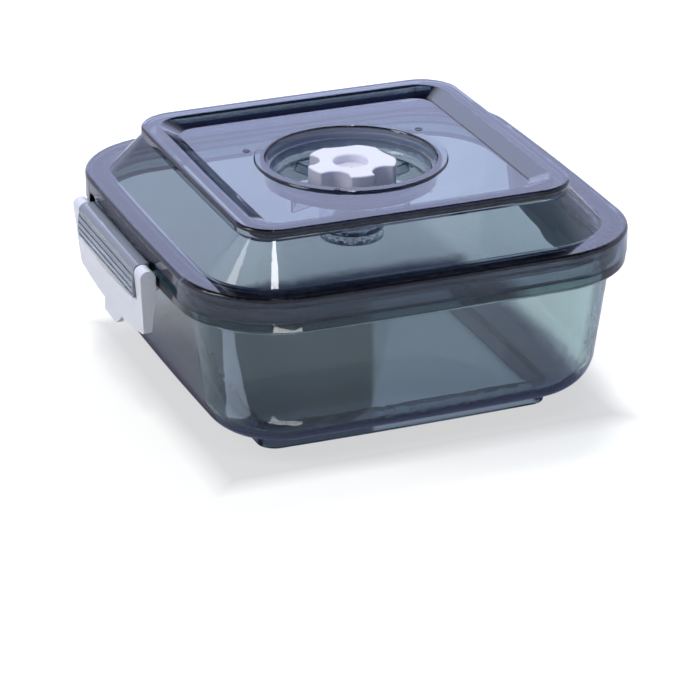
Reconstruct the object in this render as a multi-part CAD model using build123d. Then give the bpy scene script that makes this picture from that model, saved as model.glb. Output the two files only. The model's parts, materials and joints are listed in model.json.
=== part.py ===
from build123d import *
import math
import os

# Vacuum seal canister: a bowed square tub, a raised lid that seals on its rim,
# a swinging clip on each side and a five-lobed vent knob sunk in a round well,
# with a spring-loaded vacuum valve under it.
# Millimetres, +Z up, origin at the middle of the face that the foot rests on.
# The front is -Y, and the clips hang on the -X and +X sides.

# Tub
tub_wall = 2.5
tub_floor = 2.8
tub_side_inset = 6.2
tub_taper = 7.0
tub_top_corner = 37.9
tub_bottom_corner = 33.0
tub_body_height = 58.5
tub_belly_radius = 18.0
foot_height = 7.5
foot_inset = 20.7
foot_flare = 1.3
foot_corner = 8.0
foot_wall = 3.2
rim_flange_inset = 0.4
rim_flange_thickness = 4.9
rim_lip_inset = 4.0
rim_lip_height = 5.0
rim_edge_radius = 1.5
rim_top_edge_radius = 0.6

# Lid shell
lid_half = 100.2
lid_corner = 42.0
lid_bow = 2.2
lid_wall = 2.5
skirt_height = 11.15
skirt_gap = 0.25
skirt_edge_radius = 1.6
lid_flange_width = 10.9
dome_foot_corner = 31.9
dome_run = 15.4
dome_top_corner = 16.5
dome_bow = 0.6
dome_rise = 15.6
rim_band_overhang = 1.0
rim_band_height = 3.9
rim_band_width = 7.6
rim_band_edge_radius = 1.2
rim_pocket_width = 4.4
recess_depth = 3.5
recess_slope_run = 7.6
recess_corner = 9.0

# Well for the knob, in the middle of the lid
well_radius = 36.8
well_draft = 1.0
well_step = 0.9
well_step_depth = 4.2
well_depth = 10.8
well_floor_radius = 3.0
well_wall = 2.3
collar_width = 5.0
collar_height = 0.9
collar_edge_radius = 0.6
hub_radius = 12.0
hub_length = 5.5
hub_rib_count = 8
hub_rib_thickness = 1.4
hub_rib_height = 4.0
hub_rib_gap = 0.6

# Gasket under the lid, on the tub's rim lip
gasket_fence_inset = 8.4
gasket_fence_thickness = 2.0
gasket_fence_drop = 6.4
gasket_fence_ease = 1.5
gasket_side_gap = 0.4
gasket_body_height = 2.4
gasket_bead_width = 1.9

# Side clips and their hinges
clip_center = 11.75
clip_half_length = 45.75
clip_arm_width = 8.0
clip_arm_gap = 0.6
clip_head_radius = 3.4
clip_axis_offset = 3.7
clip_drop = 26.0
clip_plate_thickness = 2.4
clip_foot_thickness = 2.7
clip_arm_thickness = 7.0
clip_lean = 2.0
clip_taper = 3.0
clip_bow_drop = 4.8
clip_tongue_drop = 3.8
clip_tongue_root_half = 11.5
clip_tongue_tip_half = 8.0
clip_tongue_flare = 1.2
clip_corner = 2.5
hook_reach = 6.8
hook_inset = 4.5
hook_thickness = 2.6
hook_gap = 0.3
lug_drop = 11.0
lug_bow_drop = 2.4
lug_gap = 0.9
lug_bulge = 0.8
lug_top_width = 1.0
lug_shoulder = 2.9
lug_shoulder_slope = 30.0
lug_groove_count = 4
lug_groove_width = 1.0
lug_groove_depth = 0.5
lug_core_width = 2.4
lug_roof = 1.6
lug_pocket_gap = 1.2
notch_height = 5.2
notch_near_reach = 24.0
notch_far_reach = 0.5
notch_radius = 2.4
pin_radius = 1.0
pin_length = 16.0
pin_clearance = 0.06
pin_end_gap = 1.0

# Vent knob
knob_radius = 19.5
knob_height = 8.9
knob_lobe_count = 5
knob_scallop_radius = 6.5
knob_scallop_center = 20.0
knob_scallop_count = 3
knob_scallop_turn = 156.0
knob_valley_radius = 44.0
knob_valley_center = 61.5
knob_valley_turn = 12.0
knob_lobe_radius = 1.2
knob_edge_radius = 0.7
knob_wall = 2.0
knob_top = 2.4
knob_port_radius = 7.5
knob_port_depth = 3.4
knob_port_lip = 1.0
stem_radius = 8.0
stem_clearance = 0.1
stem_bore = 4.5
stem_tail = 2.8
stem_ledge_bore = 2.8
stem_ledge_height = 2.3
washer_radius = 13.0
washer_thickness = 0.5
washer_gap = 0.1
ring_groove_depth = 1.4
ring_groove_width = 2.0
ring_groove_below_floor = 4.0
ring_section = 0.72
circlip_thickness = 1.0
circlip_radius = 10.2
circlip_groove_depth = 1.0
circlip_gap = 0.3
circlip_opening = 50.0
sleeve_gap = 0.05
sleeve_bore = 1.0
sleeve_flange_radius = 7.0
sleeve_flange_thickness = 0.7
sleeve_length = 5.5

# Vacuum valve under the knob
cam_slope = 14.0
cam_gap = 0.3
collar_head_radius = 4.2
collar_head_height = 2.6
neck_radius = 2.2
valve_spring_length = 5.0
valve_disc_radius = 7.2
valve_disc_thickness = 1.5
valve_seal_radius = 6.4
valve_seal_thickness = 1.2
valve_guide_side = 3.6
valve_guide_gap = 0.2
valve_guide_length = 6.0
spring_radius = 5.2
spring_wire = 0.3
spring_turns = 3.5
spring_end_gap = 0.05
cage_wall = 1.8
cage_floor = 1.6
cage_overlap = 4.5
cage_gap = 0.1
cage_ledge = 0.9
cage_foot = 3.6
cage_port_radius = 5.0
seat_radius = 5.2
seat_width = 0.9
seat_height = 0.8
seat_gap = 0.05
cage_seal_thickness = 1.0
strainer_thickness = 1.2
strainer_rim_width = 1.4
strainer_hole_radius = 0.9
strainer_ring_count = 2
strainer_ring_step = 3.0
strainer_first_ring = 5.2
strainer_center_bore = 2.8
strainer_gap = 0.05
strainer_first_count = 8
strainer_count_step = 6

# Marks that show the two knob positions
mark_radius = 1.7
mark_height = 0.2
mark_ring_width = 0.6
mark_gap = 4.0
mark_closed_turn = 148.0
mark_open_turn = 28.0
pointer_length = 3.0
pointer_turn = 240.0

# One overrun past a face, for cuts that go right through
overrun = 1.0

# Half widths that follow the lid
rim_flange_half = lid_half - rim_flange_inset
rim_lip_half = lid_half - rim_lip_inset
tub_top_half = lid_half - tub_side_inset
tub_bottom_half = tub_top_half - tub_taper
foot_half = tub_bottom_half - foot_inset
gasket_fence_half = lid_half - gasket_fence_inset
dome_foot_half = lid_half - lid_flange_width
dome_top_half = dome_foot_half - dome_run
rim_band_half = dome_top_half + rim_band_overhang
mark_circle = well_radius + collar_width + mark_gap
pointer_circle = well_radius + collar_width / 2

# Levels, from the table up
belly_z = foot_height
floor_z = belly_z + tub_floor
flange_low_z = belly_z + tub_body_height
flange_top_z = flange_low_z + rim_flange_thickness
lip_top_z = flange_top_z + rim_lip_height
skirt_low_z = flange_top_z + skirt_gap
lid_flange_z = skirt_low_z + skirt_height
lid_under_z = lid_flange_z - lid_wall
dome_top_z = lid_flange_z + dome_rise
lid_top_z = dome_top_z + rim_band_height
panel_z = lid_top_z - recess_depth
panel_under_z = panel_z - lid_wall
collar_top_z = panel_z + collar_height
well_floor_z = panel_z - well_depth
well_under_z = well_floor_z - lid_wall
hub_low_z = well_under_z - hub_length
knob_low_z = well_floor_z + washer_thickness + washer_gap
knob_top_z = knob_low_z + knob_height
circlip_top_z = hub_low_z - circlip_gap
circlip_low_z = circlip_top_z - circlip_thickness
stem_low_z = circlip_low_z - stem_tail + circlip_thickness
ledge_z = stem_low_z + stem_ledge_height
collar_z = ledge_z + cam_gap
disc_top_z = stem_low_z - valve_spring_length
disc_low_z = disc_top_z - valve_disc_thickness
seal_low_z = disc_low_z - valve_seal_thickness
seat_z = seal_low_z - seat_gap
cage_floor_top_z = seat_z - seat_height
cage_floor_low_z = cage_floor_top_z - cage_floor
cage_low_z = cage_floor_low_z - cage_foot

# The side arcs of every outline share their centres, so that walls stay parallel
bow_radius = (lid_half ** 2 + lid_bow ** 2) / (2 * lid_bow)
clip_axis_x = lid_half + clip_axis_offset
clip_axis_z = skirt_low_z + clip_axis_offset - clip_head_radius
lug_half_length = clip_half_length - clip_arm_width - clip_arm_gap


def outline(half, corner, z, side_radius=None):
    """A square outline with bowed sides and round corners, as a face at height z."""
    big = side_radius or bow_radius - (lid_half - half)
    reach = big - half
    middle = (math.sqrt(2 * (big - corner) ** 2 - reach ** 2) - reach) / 2
    tilt = math.atan2(middle, middle + reach)
    touch = (big * math.sin(tilt), big * math.cos(tilt) - reach)
    bend = middle + corner * math.sqrt(0.5)
    edges = []
    for turn in range(4):
        frame = Rot(Z=90 * turn)
        side = ThreePointArc((-touch[0], -touch[1]), (0, -half), (touch[0], -touch[1]))
        round_corner = ThreePointArc((touch[0], -touch[1]), (bend, -bend), (touch[1], -touch[0]))
        edges += [frame * side, frame * round_corner]
    return Pos(Z=z) * Face(Wire(edges))


def prism(half, corner, low, high):
    """A straight-sided block with the bowed outline."""
    return extrude(outline(half, corner, low), amount=high - low, dir=(0, 0, 1))


def ring_prism(outer_half, outer_corner, thickness, low, high):
    """A wall of the given thickness that follows the bowed outline."""
    inner_half = outer_half - thickness
    inner = prism(inner_half, outer_corner - thickness, low - overrun, high + overrun)
    return prism(outer_half, outer_corner, low, high) - inner


def revolved(points):
    """A ring or disc turned about the Z axis from (radius, height) points."""
    return revolve(Plane.XZ * make_face(Polyline(*points, close=True)), axis=Axis.Z)


def tube(outer, inner, low, high):
    """A round sleeve on the Z axis, or a disc where inner is zero."""
    body = Pos(Z=low) * Cylinder(outer, high - low, align=(Align.CENTER, Align.CENTER, Align.MIN))
    if inner:
        reach = high - low + 2 * overrun
        bottom = (Align.CENTER, Align.CENTER, Align.MIN)
        body -= Pos(Z=low - overrun) * Cylinder(inner, reach, align=bottom)
    return body


def make_tub():
    top = outline(tub_top_half, tub_top_corner, flange_low_z)
    bottom = outline(tub_bottom_half, tub_bottom_corner, belly_z)
    body = loft([bottom, top], ruled=True)
    body = fillet(body.edges().group_by(Axis.Z)[0], tub_belly_radius)
    flange = prism(rim_flange_half, lid_corner, flange_low_z, flange_top_z)
    flange = fillet(flange.edges().group_by(Axis.Z)[0], rim_edge_radius)
    body += fillet(flange.edges().group_by(Axis.Z)[-1], rim_top_edge_radius)
    lip_corner = lid_corner - (rim_flange_half - rim_lip_half)
    body += prism(rim_lip_half, lip_corner, flange_top_z, lip_top_z)
    foot_top = outline(foot_half + foot_flare, foot_corner + foot_flare, belly_z + tub_floor / 2)
    body += loft([outline(foot_half, foot_corner, 0), foot_top], ruled=True)
    draft = (tub_top_half - tub_bottom_half) / tub_body_height
    corner_draft = (tub_top_corner - tub_bottom_corner) / tub_body_height
    low_half = tub_bottom_half - tub_wall + draft * tub_floor
    low_corner = tub_bottom_corner - tub_wall
    rise = lip_top_z + overrun - floor_z
    high = outline(low_half + draft * rise, low_corner + corner_draft * rise, floor_z + rise)
    cavity = loft([outline(low_half, low_corner, floor_z), high], ruled=True)
    cavity = fillet(cavity.edges().group_by(Axis.Z)[0], tub_belly_radius - tub_wall)
    foot_inner = foot_half - foot_wall
    under = prism(foot_inner, foot_corner - foot_wall, -overrun, belly_z)
    return body - cavity - under


def make_well():
    """The well's wall, floor, collar and hub, turned in one piece."""
    step_z = panel_z - well_step_depth
    low_radius = well_radius - well_draft - well_step
    collar_outer = well_radius + collar_width
    bore = stem_radius + stem_clearance
    points = [
        (bore, hub_low_z),
        (hub_radius, hub_low_z),
        (hub_radius, well_under_z),
        (low_radius - well_floor_radius, well_under_z),
        (low_radius + well_wall, well_floor_z),
        (low_radius + well_wall, step_z - well_wall),
        (well_radius + well_wall, step_z),
        (well_radius + well_wall, panel_under_z),
        (collar_outer, panel_under_z),
        (collar_outer, collar_top_z - collar_edge_radius),
        (collar_outer - collar_edge_radius, collar_top_z),
        (well_radius + collar_edge_radius, collar_top_z),
        (well_radius, collar_top_z - collar_edge_radius),
        (well_radius - well_draft, step_z),
        (low_radius, step_z),
        (low_radius, well_floor_z + well_floor_radius),
        (low_radius - well_floor_radius, well_floor_z),
        (bore, well_floor_z),
    ]
    well = revolved(points)
    rib_start = hub_radius + cage_gap + cage_wall + hub_rib_gap
    rib_length = low_radius - rib_start
    rib_place = rib_start + rib_length / 2
    for index in range(hub_rib_count):
        rib = Box(rib_length, hub_rib_thickness, hub_rib_height + lid_wall / 2)
        place = Pos(rib_place, 0, well_under_z - hub_rib_height / 2 + lid_wall / 4)
        well += Rot(Z=(index + 0.5) * 360 / hub_rib_count) * place * rib
    return well


def lug_profile():
    """Side view of a lug, with X outward from the hinge axis and Z up."""
    root = -clip_axis_offset - lid_wall / 2
    top = clip_head_radius
    low = lug_drop + lug_bow_drop + overrun
    inner = clip_head_radius - lug_core_width
    shelf = skirt_low_z - clip_axis_z
    roof = Polyline((root, shelf), (root, top), (lug_top_width, top))
    shoulder_z = clip_head_radius - (lug_shoulder - lug_top_width) * math.tan(math.radians(lug_shoulder_slope))
    shoulder = ThreePointArc((lug_top_width, top), (lug_shoulder, shoulder_z), (clip_head_radius, 0))
    front = ThreePointArc(
        (clip_head_radius, 0), (clip_head_radius + lug_bulge, -low / 2), (clip_head_radius, -low)
    )
    back = Polyline(
        (clip_head_radius, -low),
        (inner, -low),
        (inner, -clip_head_radius),
        (root + lid_wall, shelf),
        (root, shelf),
    )
    return make_face([*roof.edges(), shoulder, front, *back.edges()])


def bowed_block(half, drop, bow):
    """A block across the left clip whose lower edge bows down, in front of the hinge axis."""
    top = clip_head_radius + overrun
    sides = Polyline((-half, -drop), (-half, top), (half, top), (half, -drop))
    edge = ThreePointArc((half, -drop), (0, -drop - bow), (-half, -drop))
    return left_front(make_face([*sides.edges(), edge]))


def left_front(sketch):
    """A front view of the left clip swept both ways along X."""
    view = Plane(origin=(-clip_axis_x, clip_center, clip_axis_z), x_dir=(0, -1, 0), z_dir=(-1, 0, 0))
    return extrude(view * sketch, amount=clip_drop, both=True)


def on_left(sketch, half_length):
    """A side view swept along Y, centred on the left clip."""
    plane = Plane(
        origin=(-clip_axis_x, clip_center - half_length, clip_axis_z), x_dir=(-1, 0, 0), z_dir=(0, 1, 0)
    )
    return extrude(plane * sketch, amount=2 * half_length, dir=(0, 1, 0))


def make_lug():
    """The left lug: a ridged block on the skirt, between the clip's two arms."""
    lug = on_left(lug_profile(), lug_half_length) & bowed_block(lug_half_length, lug_drop, lug_bow_drop)
    length = 2 * (lug_half_length - clip_arm_gap)
    face_height = lug_drop + lug_bow_drop
    for index in range(lug_groove_count):
        drop = lug_drop * (index + 0.5) / lug_groove_count
        swell = lug_bulge * (1 - (2 * drop / face_height - 1) ** 2)
        groove = Box(2 * lug_groove_depth, length, lug_groove_width)
        lug -= Pos(-clip_axis_x - clip_head_radius - swell, clip_center, clip_axis_z - drop) * groove
    lug -= on_left(lug_pocket(), pin_middle() - pin_length / 2 - lug_pocket_gap)
    bore = Cylinder(pin_radius, pin_length, rotation=(90, 0, 0))
    for end in (-1, 1):
        lug -= Pos(-clip_axis_x, clip_center + end * pin_middle(), clip_axis_z) * bore
    return lug


def lug_pocket():
    """Side view of the hollow under a lug's roof, between its two pins."""
    inner = lid_wall / 2 - clip_axis_offset
    outer = clip_head_radius - lug_core_width
    roof = clip_head_radius - lug_roof
    return make_face(
        Polyline(
            (inner, roof), (outer, roof), (outer, -clip_head_radius), (inner, -clip_head_radius), close=True
        )
    )


def pin_middle():
    """Distance from the clip's middle to the middle of each hinge pin."""
    return clip_half_length - pin_end_gap - pin_length / 2


def make_notch(start, end):
    """A round-ended opening in the left skirt, beside a clip arm."""
    length = end - start
    cut = Box(4 * lid_wall, length, notch_height + overrun)
    cut = fillet(cut.edges().filter_by(Axis.X).group_by(Axis.Z)[-1], notch_radius)
    low = skirt_low_z - overrun
    return Pos(-lid_half, start + length / 2, low + (notch_height + overrun) / 2) * cut


def make_lid():
    shell = prism(lid_half, lid_corner, skirt_low_z, lid_flange_z)
    shell = fillet(shell.edges().group_by(Axis.Z)[-1], skirt_edge_radius)
    top_radius = (dome_top_half ** 2 + dome_bow ** 2) / (2 * dome_bow)
    dome_low = outline(dome_foot_half, dome_foot_corner, lid_flange_z - skirt_edge_radius)
    dome_high = outline(dome_top_half, dome_top_corner, dome_top_z, top_radius)
    base = outline(dome_foot_half, dome_foot_corner, lid_flange_z)
    shell += loft([base, dome_high], ruled=True)
    shell += extrude(dome_low, amount=skirt_edge_radius, dir=(0, 0, 1))
    band = extrude(
        outline(rim_band_half, dome_top_corner + rim_band_half - dome_top_half, dome_top_z, top_radius),
        amount=rim_band_height,
        dir=(0, 0, 1),
    )
    shell += fillet(band.edges().group_by(Axis.Z)[-1], rim_band_edge_radius)
    recess_top = outline(
        rim_band_half - rim_band_width, recess_corner + recess_slope_run / 2, lid_top_z, top_radius
    )
    recess_low = outline(
        rim_band_half - rim_band_width - recess_slope_run, recess_corner, panel_z, top_radius
    )
    shell -= loft([recess_low, recess_top], ruled=True)
    shell -= prism(lid_half - lid_wall, lid_corner - lid_wall, skirt_low_z - overrun, lid_under_z)
    slope = (dome_foot_half - dome_top_half) / dome_rise
    wall_run = lid_wall * math.sqrt(1 + slope ** 2)
    corner_slope = (dome_foot_corner - dome_top_corner) / dome_rise
    cavity_low = dome_foot_half + slope * lid_wall - wall_run
    cavity_high = cavity_low - slope * (panel_under_z - lid_under_z)
    corner_low = dome_foot_corner - wall_run
    corner_high = corner_low - corner_slope * (panel_under_z - lid_under_z)
    shell -= loft(
        [
            outline(cavity_low, corner_low, lid_under_z),
            outline(cavity_high, corner_high, panel_under_z, top_radius),
        ],
        ruled=True,
    )
    pocket_half = rim_band_half - lid_wall
    pocket_corner = dome_top_corner - lid_wall / 2
    pocket = extrude(
        outline(pocket_half, pocket_corner, panel_under_z, top_radius)
        - outline(pocket_half - rim_pocket_width, recess_corner, panel_under_z, top_radius),
        amount=recess_depth,
        dir=(0, 0, 1),
    )
    shell -= pocket
    fence_corner = lid_corner - (lid_half - gasket_fence_half) + gasket_fence_ease
    fence_low = lid_under_z - gasket_fence_drop
    shell += ring_prism(gasket_fence_half, fence_corner, gasket_fence_thickness, fence_low, lid_under_z)
    shell -= tube(well_radius + well_wall, 0, panel_under_z - overrun, lid_top_z)
    shell += make_well()
    lug = make_lug()
    near_end = clip_center - clip_half_length - notch_near_reach
    far_end = clip_center + clip_half_length + notch_far_reach
    near_notch = make_notch(near_end, clip_center - lug_half_length)
    far_notch = make_notch(clip_center + lug_half_length, far_end)
    shell = shell - near_notch - far_notch
    shell = shell - mirror(near_notch, about=Plane.YZ) - mirror(far_notch, about=Plane.YZ)
    return shell + lug + mirror(lug, about=Plane.YZ)


def make_gasket():
    """A flat silicone band with a bead that sits on the tub's lip."""
    outer = lid_half - lid_wall - gasket_side_gap
    inner = gasket_fence_half + gasket_side_gap
    corner = lid_corner - (lid_half - outer)
    body = ring_prism(outer, corner, outer - inner, lid_under_z - gasket_body_height, lid_under_z)
    bead_half = (rim_lip_half + gasket_fence_half + gasket_bead_width) / 2
    bead_corner = lid_corner - (lid_half - bead_half)
    bead = ring_prism(bead_half, bead_corner, gasket_bead_width, lip_top_z, lid_under_z - gasket_body_height)
    return body + bead


def arm_profile():
    """Side view of a clip arm, X outward from the hinge axis and Z up."""
    low = clip_drop + clip_bow_drop
    lean = clip_lean / clip_drop
    drop = low + clip_tongue_drop
    inner_mid = clip_head_radius - clip_arm_thickness
    hook_top = flange_low_z - hook_gap - clip_axis_z
    tip = clip_head_radius - lean * low + clip_tongue_flare
    outer = Polyline(
        (clip_head_radius, 0),
        (clip_head_radius - lean * low, -low),
        (tip, -drop),
        (tip - clip_foot_thickness, -drop),
        (clip_head_radius - lean * low - clip_foot_thickness, -low),
        (inner_mid, hook_top - hook_thickness),
        (inner_mid, hook_top),
        (-clip_head_radius, 0),
    )
    head = ThreePointArc((-clip_head_radius, 0), (0, clip_head_radius), (clip_head_radius, 0))
    return make_face([*outer.edges(), head])


def hook_profile():
    """Side view of the hooks that catch under the tub's rim flange."""
    hook_top = flange_low_z - hook_gap - clip_axis_z
    inner_mid = clip_head_radius - clip_arm_thickness
    return make_face(
        Polyline(
            (0, hook_top - hook_thickness),
            (inner_mid, hook_top - hook_thickness),
            (-hook_reach, hook_top - hook_thickness / 2),
            (-hook_reach, hook_top),
            (0, hook_top),
            close=True,
        )
    )


def clip_front_view():
    """Front view of a clip: sides that draw in, a bowed lower edge and a tongue in its middle."""
    top = clip_head_radius + overrun
    low = -clip_drop
    edge = clip_half_length
    foot = clip_half_length - clip_taper
    sides = Polyline((-foot, low), (-edge, 0), (-edge, top), (edge, top), (edge, 0), (foot, low))
    bow = ThreePointArc((foot, low), (0, low - clip_bow_drop), (-foot, low))
    plate = make_face([*sides.edges(), bow])
    plate = fillet(plate.vertices().group_by(Axis.Y)[0], clip_corner)
    tongue_low = low - clip_bow_drop - clip_tongue_drop
    tongue = make_face(
        Polyline(
            (-clip_tongue_root_half, low),
            (clip_tongue_root_half, low),
            (clip_tongue_root_half, low - clip_bow_drop),
            (clip_tongue_tip_half, tongue_low),
            (-clip_tongue_tip_half, tongue_low),
            (-clip_tongue_root_half, low - clip_bow_drop),
            close=True,
        )
    )
    return plate + fillet(tongue.vertices().group_by(Axis.Y)[0], clip_corner)


def make_clip():
    """The left clip, closed: two arms on the hinge pins, a plate and its finger tongue."""
    body = on_left(arm_profile(), clip_half_length)
    body += on_left(hook_profile(), clip_half_length - hook_inset)
    body = body & left_front(clip_front_view())
    gap_half = lug_half_length + clip_arm_gap
    body -= bowed_block(gap_half, lug_drop + lug_gap, lug_bow_drop)
    lean = clip_lean / clip_drop
    inner = clip_head_radius - clip_plate_thickness
    back = make_face(
        Polyline(
            (inner - lean * lug_drop, -lug_drop),
            (inner - lean * clip_drop, -clip_drop),
            (-2 * clip_head_radius, -clip_drop),
            (-2 * clip_head_radius, -lug_drop),
            close=True,
        )
    )
    body -= on_left(back, gap_half)
    bore = Cylinder(pin_radius + pin_clearance, pin_length, rotation=(90, 0, 0))
    for end in (-1, 1):
        body -= Pos(-clip_axis_x, clip_center + end * pin_middle(), clip_axis_z) * bore
    return body


def make_pins():
    """The two short hinge pins of the left clip."""
    pins = []
    for end in (-1, 1):
        pin = Cylinder(pin_radius, pin_length, rotation=(90, 0, 0))
        pins.append(Pos(-clip_axis_x, clip_center + end * pin_middle(), clip_axis_z) * pin)
    return Compound(children=pins)


def lobed_face(shrink):
    """The knob's plan: five lobes with three deep scallops and shallow valleys between, shrunk by a wall."""
    face = Circle(knob_radius - shrink)
    scallop = Pos(knob_scallop_center, 0) * Circle(knob_scallop_radius + shrink)
    valley = Pos(knob_valley_center, 0) * Circle(knob_valley_radius + shrink)
    step = 360 / knob_lobe_count
    for index in range(knob_scallop_count):
        face -= Rot(Z=knob_scallop_turn + index * step) * scallop
    for index in range(knob_lobe_count - knob_scallop_count):
        face -= Rot(Z=knob_valley_turn + index * step) * valley
    return fillet(face.vertices(), knob_lobe_radius)


def port_mouth(knob):
    """The round edge where the port opens in the knob's top."""
    circles = knob.edges().filter_by(GeomType.CIRCLE).filter_by(lambda edge: edge.is_closed)
    top = circles.group_by(Axis.Z)[-1]
    return top.sort_by(lambda edge: abs(edge.radius - knob_port_radius))[0]


def make_knob():
    low = Pos(Z=knob_low_z)
    body = extrude(low * lobed_face(0), amount=knob_height)
    body = fillet(body.edges().group_by(Axis.Z)[-1], knob_edge_radius)
    hollow = extrude(low * lobed_face(knob_wall), amount=knob_height - knob_top)
    body -= hollow
    stem = tube(stem_radius, 0, stem_low_z, knob_top_z - knob_top / 2)
    body += tube(washer_radius - knob_wall, 0, knob_low_z, knob_top_z - knob_top / 2) + stem
    port_z = knob_top_z - knob_port_depth
    body -= tube(stem_bore, 0, ledge_z + stem_bore * math.tan(math.radians(cam_slope)), knob_top_z + overrun)
    body -= tube(stem_ledge_bore, 0, stem_low_z - overrun, knob_top_z)
    ramp = Rot(Y=-cam_slope) * Cylinder(
        2 * stem_bore, 2 * stem_bore, align=(Align.CENTER, Align.CENTER, Align.MIN)
    )
    core = tube(stem_bore, 0, stem_low_z, knob_top_z - knob_top)
    body -= (Pos(Z=ledge_z) * ramp) & core
    body -= tube(knob_port_radius, 0, port_z, knob_top_z + overrun)
    body = fillet(port_mouth(body), knob_port_lip)
    body -= tube(sleeve_flange_radius + sleeve_gap, 0, port_z - sleeve_flange_thickness, port_z)
    groove_z = well_floor_z - ring_groove_below_floor
    groove_low = groove_z - ring_groove_width / 2
    groove_high = groove_z + ring_groove_width / 2
    body -= tube(stem_radius + overrun, stem_radius - ring_groove_depth, groove_low, groove_high)
    clip_groove = stem_radius - circlip_groove_depth
    body -= tube(stem_radius + overrun, clip_groove, circlip_low_z, circlip_top_z)
    return body


def make_port_sleeve():
    """Soft sleeve in the knob's centre, where a pump's tip is pushed in."""
    top = knob_top_z - knob_port_depth
    seat = top - sleeve_flange_thickness
    neck = tube(stem_bore - sleeve_gap, sleeve_bore, seat - sleeve_length, seat)
    return neck + tube(sleeve_flange_radius, sleeve_bore, seat, top)


def make_knob_ring():
    """Sealing ring in the stem's groove."""
    groove_z = well_floor_z - ring_groove_below_floor
    middle = stem_radius - ring_groove_depth + ring_section
    return Pos(Z=groove_z) * Torus(middle, ring_section)


def make_circlip():
    """Open spring clip that holds the stem under the hub."""
    clip = tube(circlip_radius, stem_radius - circlip_groove_depth, circlip_low_z, circlip_top_z)
    half_open = circlip_opening / 2
    wedge_reach = 2 * circlip_radius
    side = wedge_reach * math.tan(math.radians(half_open))
    wedge = make_face(Polyline((0, 0), (wedge_reach, side), (wedge_reach, -side), close=True))
    height = circlip_thickness + 2 * overrun
    return clip - extrude(Pos(Z=circlip_low_z - overrun) * wedge, amount=height)


def make_lift_collar():
    """Head on the valve's neck; its slanted underside rides on the stem's slanted ledge."""
    head = tube(collar_head_radius, neck_radius, stem_low_z, collar_z + collar_head_height)
    ramp = Rot(Y=-cam_slope) * Cylinder(
        2 * stem_bore, 2 * stem_bore, align=(Align.CENTER, Align.CENTER, Align.MIN)
    )
    return head & (Pos(Z=collar_z) * ramp)


def make_valve():
    """Disc with a neck up through the stem and a square guide down through the cage."""
    body = tube(valve_disc_radius, 0, disc_low_z, disc_top_z)
    body += tube(neck_radius, 0, disc_low_z, collar_z + collar_head_height)
    guide_low = disc_low_z - valve_guide_length
    guide = Box(
        valve_guide_side,
        valve_guide_side,
        valve_guide_length + valve_disc_thickness,
        align=(Align.CENTER, Align.CENTER, Align.MIN),
    )
    return body + Pos(Z=guide_low) * guide


def make_valve_seal():
    """Soft disc under the valve, closing on the cage's seat."""
    body = tube(valve_seal_radius, 0, seal_low_z, disc_low_z)
    hole = Box(valve_guide_side, valve_guide_side, 4 * valve_seal_thickness)
    return body - Pos(Z=seal_low_z) * hole


def coil_gap(path, samples_a_turn=24):
    """Least gap of the spring's wire to itself, measured between points a turn apart or more."""
    count = int(spring_turns * samples_a_turn)
    points = [path @ (index / count) for index in range(count + 1)]
    apart = samples_a_turn // 2
    gaps = [(far - near).length for at, near in enumerate(points) for far in points[at + apart:]]
    return min(gaps) - 2 * spring_wire


def make_spring():
    """Coil between the stem's end and the valve disc."""
    low = disc_top_z + spring_wire + spring_end_gap
    height = valve_spring_length - 2 * (spring_wire + spring_end_gap)
    path = Pos(Z=low) * Helix(height / spring_turns, height, spring_radius)
    print("valve spring, least gap to itself:", round(coil_gap(path), 2), "mm")
    section = Plane(origin=path @ 0, z_dir=path % 0) * Circle(spring_wire)
    return sweep(section, path, is_frenet=True)


def make_cage():
    """Cup under the hub, with the valve seat, a guide bridge and air ports."""
    outer = hub_radius + cage_gap + cage_wall
    cup = tube(outer, 0, cage_low_z, hub_low_z + cage_overlap)
    ledge_top = hub_low_z - cage_seal_thickness
    cup -= tube(hub_radius + cage_gap, 0, ledge_top, hub_low_z + cage_overlap + overrun)
    cup -= tube(hub_radius - cage_ledge, 0, cage_floor_top_z, ledge_top)
    cup -= tube(hub_radius, 0, cage_low_z - overrun, cage_floor_low_z)
    cup += tube(seat_radius + seat_width, seat_radius, cage_floor_top_z, seat_z)
    cup -= tube(cage_port_radius, 0, cage_floor_low_z - overrun, cage_floor_top_z + overrun)
    bridge = Box(2 * cage_port_radius + overrun, 2 * valve_guide_side, cage_floor)
    cup += Pos(Z=(cage_floor_low_z + cage_floor_top_z) / 2) * bridge
    hole_side = valve_guide_side + 2 * valve_guide_gap
    cup -= Pos(Z=cage_floor_low_z) * Box(hole_side, hole_side, 4 * cage_floor)
    return cup


def make_cage_seal():
    """Flat ring between the hub's end and the cage."""
    low = hub_low_z - cage_seal_thickness
    return tube(hub_radius, hub_radius - cage_ledge, low, hub_low_z)


def make_strainer():
    """Snap-in disc with small holes, which keeps food out of the valve."""
    radius = hub_radius - strainer_gap
    low = cage_low_z
    disc = tube(radius, 0, low, low + strainer_thickness)
    for ring in range(strainer_ring_count):
        reach = strainer_first_ring + ring * strainer_ring_step
        count = strainer_first_count + strainer_count_step * ring
        for index in range(count):
            hole = Cylinder(strainer_hole_radius, 4 * strainer_thickness)
            disc -= Rot(Z=index * 360 / count) * Pos(reach, 0, low) * hole
    disc -= tube(strainer_center_bore, 0, low - overrun, low + strainer_thickness + overrun)
    rim_top = cage_floor_low_z
    return disc + tube(radius, radius - strainer_rim_width, low + strainer_thickness, rim_top)


def make_washer():
    """Thin slip washer between the knob and the well floor."""
    bore = stem_radius + stem_clearance
    return tube(washer_radius, bore, well_floor_z, well_floor_z + washer_thickness)


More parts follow.
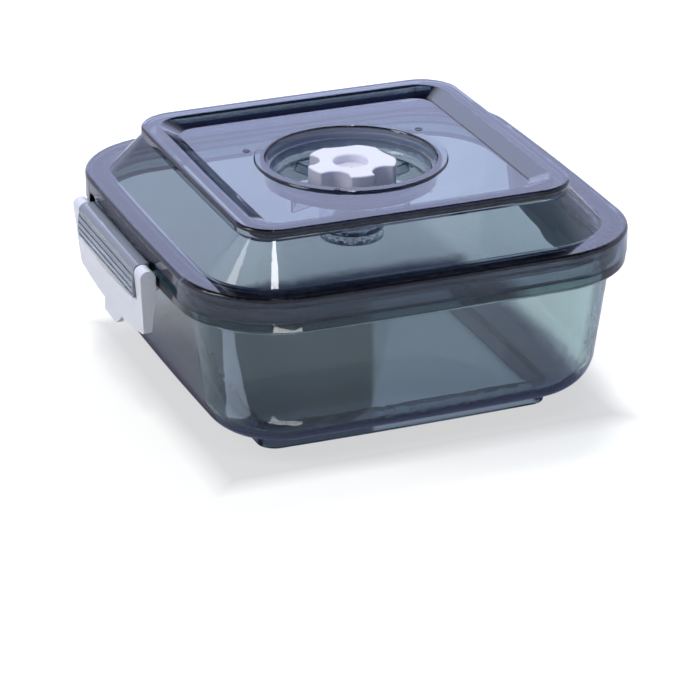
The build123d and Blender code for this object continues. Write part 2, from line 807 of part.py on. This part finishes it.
def make_marks():
    """A filled dot and an open ring, printed on the panel, and a pointer on the well's collar."""
    closed = tube(mark_radius, 0, panel_z, panel_z + mark_height)
    opened = tube(mark_radius, mark_radius - mark_ring_width, panel_z, panel_z + mark_height)
    side = pointer_length / 2
    arrow = make_face(Polyline((-side, -side), (-side, side), (side, 0), close=True))
    pointer = extrude(Pos(Z=collar_top_z) * arrow, amount=mark_height)
    marks = [
        Rot(Z=mark_closed_turn) * Pos(mark_circle) * closed,
        Rot(Z=mark_open_turn) * Pos(mark_circle) * opened,
        Rot(Z=pointer_turn) * Pos(pointer_circle) * Rot(Z=180) * pointer,
    ]
    return Compound(children=marks)


def main():
    os.makedirs("parts", exist_ok=True)
    clip = make_clip()
    pins = make_pins()
    pieces = {
        "tub": make_tub(),
        "lid": make_lid(),
        "lid_gasket": make_gasket(),
        "clip_left": clip,
        "clip_right": mirror(clip, about=Plane.YZ),
        "hinge_pins_left": pins,
        "hinge_pins_right": mirror(pins, about=Plane.YZ),
        "vent_knob": make_knob(),
        "port_sleeve": make_port_sleeve(),
        "knob_seal_ring": make_knob_ring(),
        "knob_slip_washer": make_washer(),
        "knob_circlip": make_circlip(),
        "lift_collar": make_lift_collar(),
        "valve_disc": make_valve(),
        "valve_seal": make_valve_seal(),
        "valve_spring": make_spring(),
        "valve_cage": make_cage(),
        "cage_seal": make_cage_seal(),
        "strainer": make_strainer(),
        "position_marks": make_marks(),
    }
    for name, piece in pieces.items():
        export_step(piece, os.path.join("parts", name + ".step"))


main()
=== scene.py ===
import json
import math

import bpy
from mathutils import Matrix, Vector

# Looks of the vacuum seal canister: smoke-tinted clear plastic, white clips and knob.
# Metres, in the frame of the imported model: +Z up, the front is -Y, the clips hang on -X and +X.

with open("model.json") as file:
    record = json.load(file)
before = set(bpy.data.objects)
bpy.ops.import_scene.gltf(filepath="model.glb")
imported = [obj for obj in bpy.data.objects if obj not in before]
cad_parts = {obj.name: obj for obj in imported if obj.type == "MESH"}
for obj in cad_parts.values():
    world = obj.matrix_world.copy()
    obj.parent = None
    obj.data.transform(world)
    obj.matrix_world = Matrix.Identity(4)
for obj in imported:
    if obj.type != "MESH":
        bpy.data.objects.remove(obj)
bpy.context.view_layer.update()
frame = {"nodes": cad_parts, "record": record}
nodes = frame["nodes"]
scene = bpy.context.scene

# Enough for light to cross all the clear walls
LIGHT_BOUNCES = 24

# Camera of the photograph, with its angles in degrees
CAMERA_PLACE = (-0.49985, -1.24599, 0.60997)
CAMERA_TILT = 65.85
CAMERA_TURN = -21.84
CAMERA_LENS = 172.23
CAMERA_SENSOR = 36.0
CAMERA_NEAR = 0.05
CAMERA_FAR = 60.0

# The studio's ceiling is dim above these heights on a sphere round the object
SKY_START = 0.55
SKY_END = 0.75
SKY_LOW = (0.5, 0.52, 0.62)
SKY_COLOR = (0.22, 0.24, 0.38)
# What the gloss shows of it, from the horizon to the ceiling
GLOSS_LOW = (0.92, 0.97, 1.3)
GLOSS_HIGH = (0.08, 0.09, 0.16)
# What lights matt surfaces from all sides
FILL_COLOR = (0.45, 0.58, 1.0)
FILL_STRENGTH = 0.32

# Fineness of every noise from one octave to the next
NOISE_ROUGHNESS = 0.55

# Clear plastic blends to a painted shade color between these two grazing values
GRAZE_BLEND = 0.35
GRAZE_START = 0.48
GRAZE_END = 0.74
PLASTIC_IOR = 1.47
HAZE_GAIN = 0.012

# Parts of the lid given painted light, in metres: the recess's right slope by its x, z and the x of its
# normal, the well's wall by its distance from the middle and its z, and the lugs by their distance along x
RECESS_X = (0.05, 0.074)
RECESS_Z = (0.0984, 0.0988)
RECESS_NORMAL = (-0.4, -0.3)
WELL_RADII = (0.0345, 0.0372)
WELL_Z = (0.088, 0.0985)
LUG_X = (0.1004, 0.1012)
ZONE_BORDER = 0.0005
WELL_BORDER = 0.0003
# Color and share of the painted light
RECESS_PAINTED_LIGHT = ((0.36, 0.41, 0.52), 0.5)
LUG_PAINTED_LIGHT = ((0.62, 0.68, 0.76), 0.4)


def make_camera():
    data = bpy.data.cameras.new("camera")
    data.lens = CAMERA_LENS
    data.sensor_width = CAMERA_SENSOR
    data.clip_start = CAMERA_NEAR
    data.clip_end = CAMERA_FAR
    camera = bpy.data.objects.new("camera", data)
    camera.location = CAMERA_PLACE
    camera.rotation_euler = (math.radians(CAMERA_TILT), 0.0, math.radians(CAMERA_TURN))
    scene.collection.objects.link(camera)
    scene.camera = camera


class Graph:
    """A material or world with short ways to add, set and link its nodes."""

    def __init__(self, owner, clear=True):
        owner.use_nodes = True
        self.tree = owner.node_tree
        if clear:
            self.tree.nodes.clear()

    def add(self, kind, **settings):
        node = self.tree.nodes.new("ShaderNode" + kind)
        for name, value in settings.items():
            setattr(node, name, value)
        return node

    def link(self, source, target):
        self.tree.links.new(source, target)

    def place(self):
        """Object coordinates, which are metres in the model's frame."""
        return self.add("TexCoord").outputs["Object"]

    def place_parts(self):
        """The node that gives x, y and z of the place, each as an output."""
        node = self.add("SeparateXYZ")
        self.link(self.place(), node.inputs["Vector"])
        return node

    def noise(self, scale, detail):
        node = self.add("TexNoise")
        node.inputs["Scale"].default_value = scale
        node.inputs["Detail"].default_value = detail
        node.inputs["Roughness"].default_value = NOISE_ROUGHNESS
        self.link(self.place(), node.inputs["Vector"])
        return node.outputs["Fac"]

    def spread(self, value, low, high, start=0.0, end=1.0):
        """Maps a value from start-end to low-high."""
        node = self.add("MapRange")
        node.inputs["From Min"].default_value = start
        node.inputs["From Max"].default_value = end
        node.inputs["To Min"].default_value = low
        node.inputs["To Max"].default_value = high
        self.link(value, node.inputs["Value"])
        return node.outputs["Result"]

    def blend_colors(self, factor, first, second):
        """Goes from the first to the second color; each is a tuple or another node's output."""
        node = self.add("Mix", data_type="RGBA")
        for socket, color in (("A", first), ("B", second)):
            if isinstance(color, tuple):
                node.inputs[socket].default_value = (*color, 1.0)
            else:
                self.link(color, node.inputs[socket])
        self.link(factor, node.inputs["Factor"])
        return node.outputs["Result"]

    def math(self, operation, first, second=0.0):
        node = self.add("Math", operation=operation)
        for socket, value in zip(node.inputs, (first, second)):
            if isinstance(value, float):
                socket.default_value = value
            else:
                self.link(value, socket)
        return node.outputs["Value"]

    def inside(self, value, low, high, soft):
        """1 where the value lies between low and high, with a soft border."""
        rise = self.spread(value, 0.0, 1.0, low, low + soft)
        fall = self.spread(value, 1.0, 0.0, high - soft, high)
        return self.math("MULTIPLY", rise, fall)

    def bump(self, height, depth):
        node = self.add("Bump")
        node.inputs["Strength"].default_value = 1.0
        node.inputs["Distance"].default_value = depth
        self.link(height, node.inputs["Height"])
        return node.outputs["Normal"]


def new_material(name):
    material = bpy.data.materials.new(name)
    graph = Graph(material)
    shader = graph.add("BsdfPrincipled")
    output = graph.add("OutputMaterial")
    graph.link(shader.outputs["BSDF"], output.inputs["Surface"])
    return material, graph, shader, output


def wear_and_bump(graph, shader, grain, depth, rough_low, rough_high):
    """Fine mould texture with faint handling marks in the gloss."""
    fine = graph.noise(scale=grain, detail=4.0)
    broad = graph.noise(scale=70.0, detail=3.0)
    rough = graph.spread(broad, rough_low, rough_high, start=0.3, end=0.7)
    graph.link(rough, shader.inputs["Roughness"])
    graph.link(graph.bump(fine, depth), shader.inputs["Normal"])


def clear_plastic(name, face, edge_shade, tint, density, rough, graze_end=GRAZE_END):
    """Clear plastic: light is tinted by its way through the wall; painted shade darkens its grazing edges.
    """
    material, graph, shader, output = new_material(name)
    layer = graph.add("LayerWeight")
    layer.inputs["Blend"].default_value = GRAZE_BLEND
    # Painted shade: the color turns to the darker second color where the surface is seen grazing
    painted_graze = graph.spread(layer.outputs["Facing"], 0.0, 1.0, GRAZE_START, graze_end)
    graph.link(graph.blend_colors(painted_graze, face, edge_shade), shader.inputs["Base Color"])
    shader.inputs["Transmission Weight"].default_value = 1.0
    shader.inputs["IOR"].default_value = PLASTIC_IOR
    absorb = graph.add("VolumeAbsorption")
    absorb.inputs["Color"].default_value = (*tint, 1.0)
    absorb.inputs["Density"].default_value = density
    graph.link(absorb.outputs["Volume"], output.inputs["Volume"])
    haze = graph.noise(scale=55.0, detail=2.0)
    blur = graph.spread(haze, rough, rough + HAZE_GAIN, start=0.4, end=0.7)
    graph.link(blur, shader.inputs["Roughness"])
    return material


def painted_light_zones(material, zones):
    """Painted light: parts of the surface scatter light; each zone has a mask, a color and a share."""
    graph = Graph(material, clear=False)
    shader = next(node for node in graph.tree.nodes if node.type == "BSDF_PRINCIPLED")
    spot = graph.place_parts()
    tint = shader.inputs["Base Color"].links[0].from_socket
    clear = 1.0
    for zone, color, share in zones:
        mask = zone(graph, spot)
        tint = graph.blend_colors(mask, tint, color)
        clear = graph.math("SUBTRACT", clear, graph.math("MULTIPLY", mask, share))
    graph.link(tint, shader.inputs["Base Color"])
    graph.link(clear, shader.inputs["Transmission Weight"])


def recess_and_well(graph, spot):
    """The recess's right slope and the well's wall, given painted light since they would look too dark when
    fully clear.
    """
    way = graph.add("NewGeometry")
    facing = graph.add("SeparateXYZ")
    graph.link(way.outputs["Normal"], facing.inputs["Vector"])
    slope = graph.spread(facing.outputs["X"], 1.0, 0.0, *RECESS_NORMAL)
    right = graph.inside(spot.outputs["X"], *RECESS_X, ZONE_BORDER)
    high = graph.spread(spot.outputs["Z"], 0.0, 1.0, *RECESS_Z)
    recess = graph.math("MULTIPLY", graph.math("MULTIPLY", slope, right), high)
    across, along = spot.outputs["X"], spot.outputs["Y"]
    squares = graph.math("ADD", graph.math("MULTIPLY", across, across), graph.math("MULTIPLY", along, along))
    away = graph.math("SQRT", squares)
    wall = graph.inside(away, *WELL_RADII, WELL_BORDER)
    deep = graph.inside(spot.outputs["Z"], *WELL_Z, ZONE_BORDER)
    return graph.math("MAXIMUM", recess, graph.math("MULTIPLY", wall, deep))


def lug_plates(graph, spot):
    """The hinge lugs outside the rim, made pale by a painted reflection."""
    out = graph.math("ABSOLUTE", spot.outputs["X"])
    return graph.spread(out, 0.0, 1.0, *LUG_X)


def white_plastic(name, light, dark, gloss):
    material, graph, shader, _ = new_material(name)
    broad = graph.noise(scale=45.0, detail=2.0)
    graph.link(graph.blend_colors(broad, light, dark), shader.inputs["Base Color"])
    shader.inputs["Specular IOR Level"].default_value = 0.45
    shader.inputs["Subsurface Weight"].default_value = 0.12
    shader.inputs["Subsurface Radius"].default_value = (1.0, 0.9, 0.8)
    shader.inputs["Subsurface Scale"].default_value = 0.001
    wear_and_bump(graph, shader, grain=1400.0, depth=0.000012, rough_low=gloss, rough_high=gloss + 0.08)
    return material


def steel(name):
    material, graph, shader, _ = new_material(name)
    shader.inputs["Metallic"].default_value = 1.0
    cloud = graph.noise(scale=900.0, detail=2.0)
    gray = graph.blend_colors(cloud, (0.62, 0.62, 0.64), (0.78, 0.78, 0.8))
    graph.link(gray, shader.inputs["Base Color"])
    wear_and_bump(graph, shader, grain=2600.0, depth=0.000006, rough_low=0.2, rough_high=0.34)
    return material


def rubber(name, light, dark, rough):
    material, graph, shader, _ = new_material(name)
    broad = graph.noise(scale=160.0, detail=3.0)
    graph.link(graph.blend_colors(broad, light, dark), shader.inputs["Base Color"])
    shader.inputs["Sheen Weight"].default_value = 0.15
    wear_and_bump(graph, shader, grain=1900.0, depth=0.00002, rough_low=rough, rough_high=rough + 0.1)
    return material


def paint_nodes():
    clear = (1.0, 1.0, 1.0)
    # The second color of each clear plastic is its painted grazing shade
    tub = clear_plastic("smoke_tub", clear, (0.1, 0.1, 0.24), (0.03, 0.26, 0.30), 235.0, 0.0, 0.64)
    lid = clear_plastic("smoke_lid", clear, (0.16, 0.16, 0.34), (0.09, 0.18, 0.37), 385.0, 0.0)
    # The recess, the well's wall and the lugs get painted light
    painted_light_zones(lid, [(recess_and_well, *RECESS_PAINTED_LIGHT), (lug_plates, *LUG_PAINTED_LIGHT)])
    gasket = clear_plastic(
        "clear_silicone", (0.9, 0.92, 0.95), (0.6, 0.65, 0.7), (0.4, 0.45, 0.5), 300.0, 0.2
    )
    cage = clear_plastic("smoke_cage", clear, (0.85, 0.88, 0.95), (0.10, 0.22, 0.42), 60.0, 0.0)
    looks = {
        "tub": tub,
        "lid": lid,
        "lid_gasket": gasket,
        "clip": white_plastic("white_clip", (0.86, 0.86, 0.89), (0.82, 0.82, 0.86), 0.3),
        "vent_knob": white_plastic("white_knob", (0.86, 0.85, 0.92), (0.82, 0.81, 0.89), 0.36),
        "cage": cage,
        "valve_plastic": white_plastic("white_valve", (0.78, 0.78, 0.82), (0.72, 0.72, 0.77), 0.45),
        "slip_washer": white_plastic("milky_washer", (0.7, 0.7, 0.72), (0.64, 0.64, 0.66), 0.5),
        "soft_white": rubber("white_silicone", (0.78, 0.78, 0.8), (0.7, 0.7, 0.73), 0.5),
        "seal_ring": rubber("black_rubber", (0.03, 0.03, 0.034), (0.02, 0.02, 0.022), 0.5),
        "position_marks": rubber("dark_print", (0.02, 0.022, 0.05), (0.014, 0.016, 0.035), 0.4),
        "hinge_pins": steel("pin_steel"),
        "spring_steel": steel("spring_steel"),
    }
    for part in frame["record"]["subparts"]:
        mesh = nodes[part["node"]].data
        mesh.materials.clear()
        mesh.materials.append(looks[part["material_slot"]])


def smooth_shading():
    for node in nodes.values():
        weld = node.modifiers.new("weld", "WELD")
        weld.merge_threshold = 1e-6
        normals = node.modifiers.new("normals", "WEIGHTED_NORMAL")
        normals.keep_sharp = True


def seen_directly(graph):
    """1 where a camera, glossy or transmission ray looks, and 0 for the rays that light matt surfaces."""
    path = graph.add("LightPath")
    first = graph.add("Math", operation="MAXIMUM")
    second = graph.add("Math", operation="MAXIMUM")
    graph.link(path.outputs["Is Camera Ray"], first.inputs[0])
    graph.link(path.outputs["Is Glossy Ray"], first.inputs[1])
    graph.link(first.outputs["Value"], second.inputs[0])
    graph.link(path.outputs["Is Transmission Ray"], second.inputs[1])
    return second.outputs["Value"]


def make_world():
    world = bpy.data.worlds.new("studio")
    scene.world = world
    graph = Graph(world)
    sight = graph.add("Background")
    sight.inputs["Strength"].default_value = 1.0
    coordinates = graph.add("TexCoord")
    parts = graph.add("SeparateXYZ")
    graph.link(coordinates.outputs["Generated"], parts.inputs["Vector"])
    height = graph.spread(parts.outputs["Z"], 0.0, 1.0, SKY_START, SKY_END)
    path = graph.add("LightPath")
    through = graph.blend_colors(height, SKY_LOW, SKY_COLOR)
    seen = graph.blend_colors(path.outputs["Is Transmission Ray"], (1.0, 1.0, 1.0), through)
    gloss = graph.blend_colors(height, GLOSS_LOW, GLOSS_HIGH)
    graph.link(graph.blend_colors(path.outputs["Is Reflection Ray"], seen, gloss), sight.inputs["Color"])
    fill = graph.add("Background")
    fill.inputs["Color"].default_value = (*FILL_COLOR, 1.0)
    fill.inputs["Strength"].default_value = FILL_STRENGTH
    mix = graph.add("MixShader")
    output = graph.add("OutputWorld")
    graph.link(seen_directly(graph), mix.inputs["Fac"])
    graph.link(fill.outputs["Background"], mix.inputs[1])
    graph.link(sight.outputs["Background"], mix.inputs[2])
    graph.link(mix.outputs["Shader"], output.inputs["Surface"])


# Seen through the plastic, the floor under the tub has painted shade, darker on the left of a line that
# runs with the camera's sight: the line is where x times the first value and y times the second
# come to the third
SHADE_LEFT = (0.08, 0.09, 0.12)
SHADE_RIGHT = (0.36, 0.38, 0.46)
SHADE_LINE = (0.9255, -0.3787, 0.0094)
LINE_SOFT = 0.001
# Distances from the middle where the foot's shade starts and the tub's shade ends
FOOT_SHADE = (0.05, 0.05, 0.08)
FOOT_EDGE = 0.06
FOOT_SOFT = 0.004
SHADE_EDGE = 0.088
SHADE_END = 0.1
# The floor beyond the tub, seen through the plastic, with painted light on its right part from x to x
FLOOR_THROUGH = (0.4, 0.4, 0.42)
RIGHT_PAINTED_LIGHT = (0.7, 0.74, 0.7)
RIGHT_EDGE = (0.09, 0.1)
# The matt floor with painted shade under the tub, and lit beyond it
SHADE_MATTE = (0.2, 0.2, 0.2)
FLOOR_MATTE = (0.85, 0.83, 0.7)
MATTE_EDGE = 0.086
# What a camera ray adds to the lit floor near the tub, and the distances over which it turns white
FLOOR_GLOW = (0.62, 0.62, 0.62)
GLOW_RANGE = (0.35, 1.5)
FLOOR_REACH = 14.0
FLOOR_Z = -0.0002

# Painted reflections: glowing and dark cards on the floor that only reflections show, with x and y ranges
# in metres, slant of x over y, color
PAINTED_REFLECTION_CARDS = [
    ((-0.126, -0.02), (-0.045, 0.14), 0.0, (0.07, 0.06, 0.12)),
    ((-0.2, -0.06), (-0.165, -0.094), 0.0, (0.05, 0.05, 0.1)),
    ((-0.064, -0.028), (-0.165, -0.09), 0.547, (0.16, 0.17, 0.22)),
    ((-0.028, 0.2), (-0.2, -0.09), 0.547, (0.7, 0.85, 1.3)),
    ((-0.18, -0.103), (-0.095, -0.06), 0.0, (2.4, 2.9, 3.8)),
    ((-0.085, -0.05), (-0.112, -0.099), 0.0, (5.0, 5.0, 5.3)),
    ((-0.13, -0.03), (-0.253, -0.2), 0.0, (9.0, 9.0, 9.0)),
]
CARD_BORDER = 0.002
CARD_LINE = -0.093
PAINTED_REFLECTION_BASE = (0.16, 0.17, 0.32)


def make_floor():
    material = bpy.data.materials.new("studio_floor")
    graph = Graph(material)
    matte = graph.add("BsdfDiffuse")
    parts = graph.place_parts()
    across, along = parts.outputs["X"], parts.outputs["Y"]

    reach_x = graph.math("ABSOLUTE", across)
    reach_y = graph.math("ABSOLUTE", along)
    reach = graph.math("MAXIMUM", reach_x, reach_y)
    # Painted shade under the tub, seen only through the plastic
    run, rise, shift = SHADE_LINE
    beside = graph.math("ADD", graph.math("MULTIPLY", across, run), graph.math("MULTIPLY", along, rise))
    half = graph.spread(beside, 0.0, 1.0, shift - LINE_SOFT, shift + LINE_SOFT)
    shade = graph.blend_colors(half, SHADE_LEFT, SHADE_RIGHT)
    under_foot = graph.spread(reach, 0.0, 1.0, FOOT_EDGE, FOOT_EDGE + FOOT_SOFT)
    shade = graph.blend_colors(under_foot, shade, FOOT_SHADE)
    # Painted light on the floor's right part, seen through the plastic
    far_right = graph.spread(across, 0.0, 1.0, *RIGHT_EDGE)
    beyond = graph.blend_colors(far_right, FLOOR_THROUGH, RIGHT_PAINTED_LIGHT)
    outside = graph.spread(reach, 0.0, 1.0, SHADE_EDGE, SHADE_END)
    shade = graph.blend_colors(outside, shade, beyond)
    # Painted shadow: the matt floor is dark under the tub
    under_tub = graph.spread(reach, 0.0, 1.0, MATTE_EDGE, SHADE_END)
    graph.link(graph.blend_colors(under_tub, SHADE_MATTE, FLOOR_MATTE), matte.inputs["Color"])

    # Painted reflections: reflection rays see the floor dark, with the cards' glow and shade laid on it
    gloss = PAINTED_REFLECTION_BASE
    for (left, right), (front, back), slant, color in PAINTED_REFLECTION_CARDS:
        from_line = graph.math("SUBTRACT", along, CARD_LINE)
        skewed = graph.math("ADD", across, graph.math("MULTIPLY", from_line, slant))
        in_x = graph.inside(skewed, left, right, CARD_BORDER)
        in_y = graph.inside(along, front, back, CARD_BORDER)
        gloss = graph.blend_colors(graph.math("MULTIPLY", in_x, in_y), gloss, color)
    path = graph.add("LightPath")
    distance = graph.spread(reach, 0.0, 1.0, *GLOW_RANGE)
    far = graph.blend_colors(distance, FLOOR_GLOW, (1.0, 1.0, 1.0))
    seen = graph.blend_colors(path.outputs["Is Transmission Ray"], far, shade)
    color = graph.blend_colors(path.outputs["Is Reflection Ray"], seen, gloss)

    glow = graph.add("Emission")
    graph.link(color, glow.inputs["Color"])
    graph.link(seen_directly(graph), glow.inputs["Strength"])
    total = graph.add("AddShader")
    output = graph.add("OutputMaterial")
    graph.link(matte.outputs["BSDF"], total.inputs[0])
    graph.link(glow.outputs["Emission"], total.inputs[1])
    graph.link(total.outputs["Shader"], output.inputs["Surface"])
    mesh = bpy.data.meshes.new("studio_floor")
    signs = ((-1, -1), (1, -1), (1, 1), (-1, 1))
    corners = [(FLOOR_REACH * x, FLOOR_REACH * y, FLOOR_Z) for x, y in signs]
    mesh.from_pydata(corners, [], [(0, 1, 2, 3)])
    mesh.materials.append(material)
    floor = bpy.data.objects.new("studio_floor", mesh)
    scene.collection.objects.link(floor)


# Lamps aimed at one place: place and size in metres, power in watts, color, and whether gloss shows it
LAMP_TARGET = (0.0, 0.0, 0.05)
LAMPS = [
    ("key", (-0.25, -0.62, 1.35), (0.18, 0.26), 2.6, (1.0, 1.0, 1.0), True),
    ("left", (-1.3, 0.1, 0.9), (0.5, 0.9), 8.0, (1.0, 0.99, 1.0), True),
    ("top", (0.3, 0.45, 1.4), (0.5, 0.5), 10.0, (1.0, 1.0, 1.0), False),
    ("back", (0.55, 1.45, 0.62), (1.6, 0.7), 4.4, (0.5, 0.58, 1.0), True),
]


def make_lights():
    for name, place, size, power, color, shows in LAMPS:
        data = bpy.data.lights.new(name, "AREA")
        data.shape = "RECTANGLE"
        data.size, data.size_y = size
        data.energy = power
        data.color = color
        lamp = bpy.data.objects.new(name, data)
        lamp.location = place
        away = Vector(place) - Vector(LAMP_TARGET)
        lamp.rotation_euler = away.to_track_quat("Z", "Y").to_euler()
        lamp.visible_glossy = shows
        lamp.visible_transmission = False
        scene.collection.objects.link(lamp)


make_camera()
paint_nodes()
smooth_shading()
make_world()
make_floor()
make_lights()

scene.view_settings.view_transform = "Standard"
scene.cycles.use_denoising = True
scene.cycles.max_bounces = LIGHT_BOUNCES
scene.cycles.transmission_bounces = LIGHT_BOUNCES
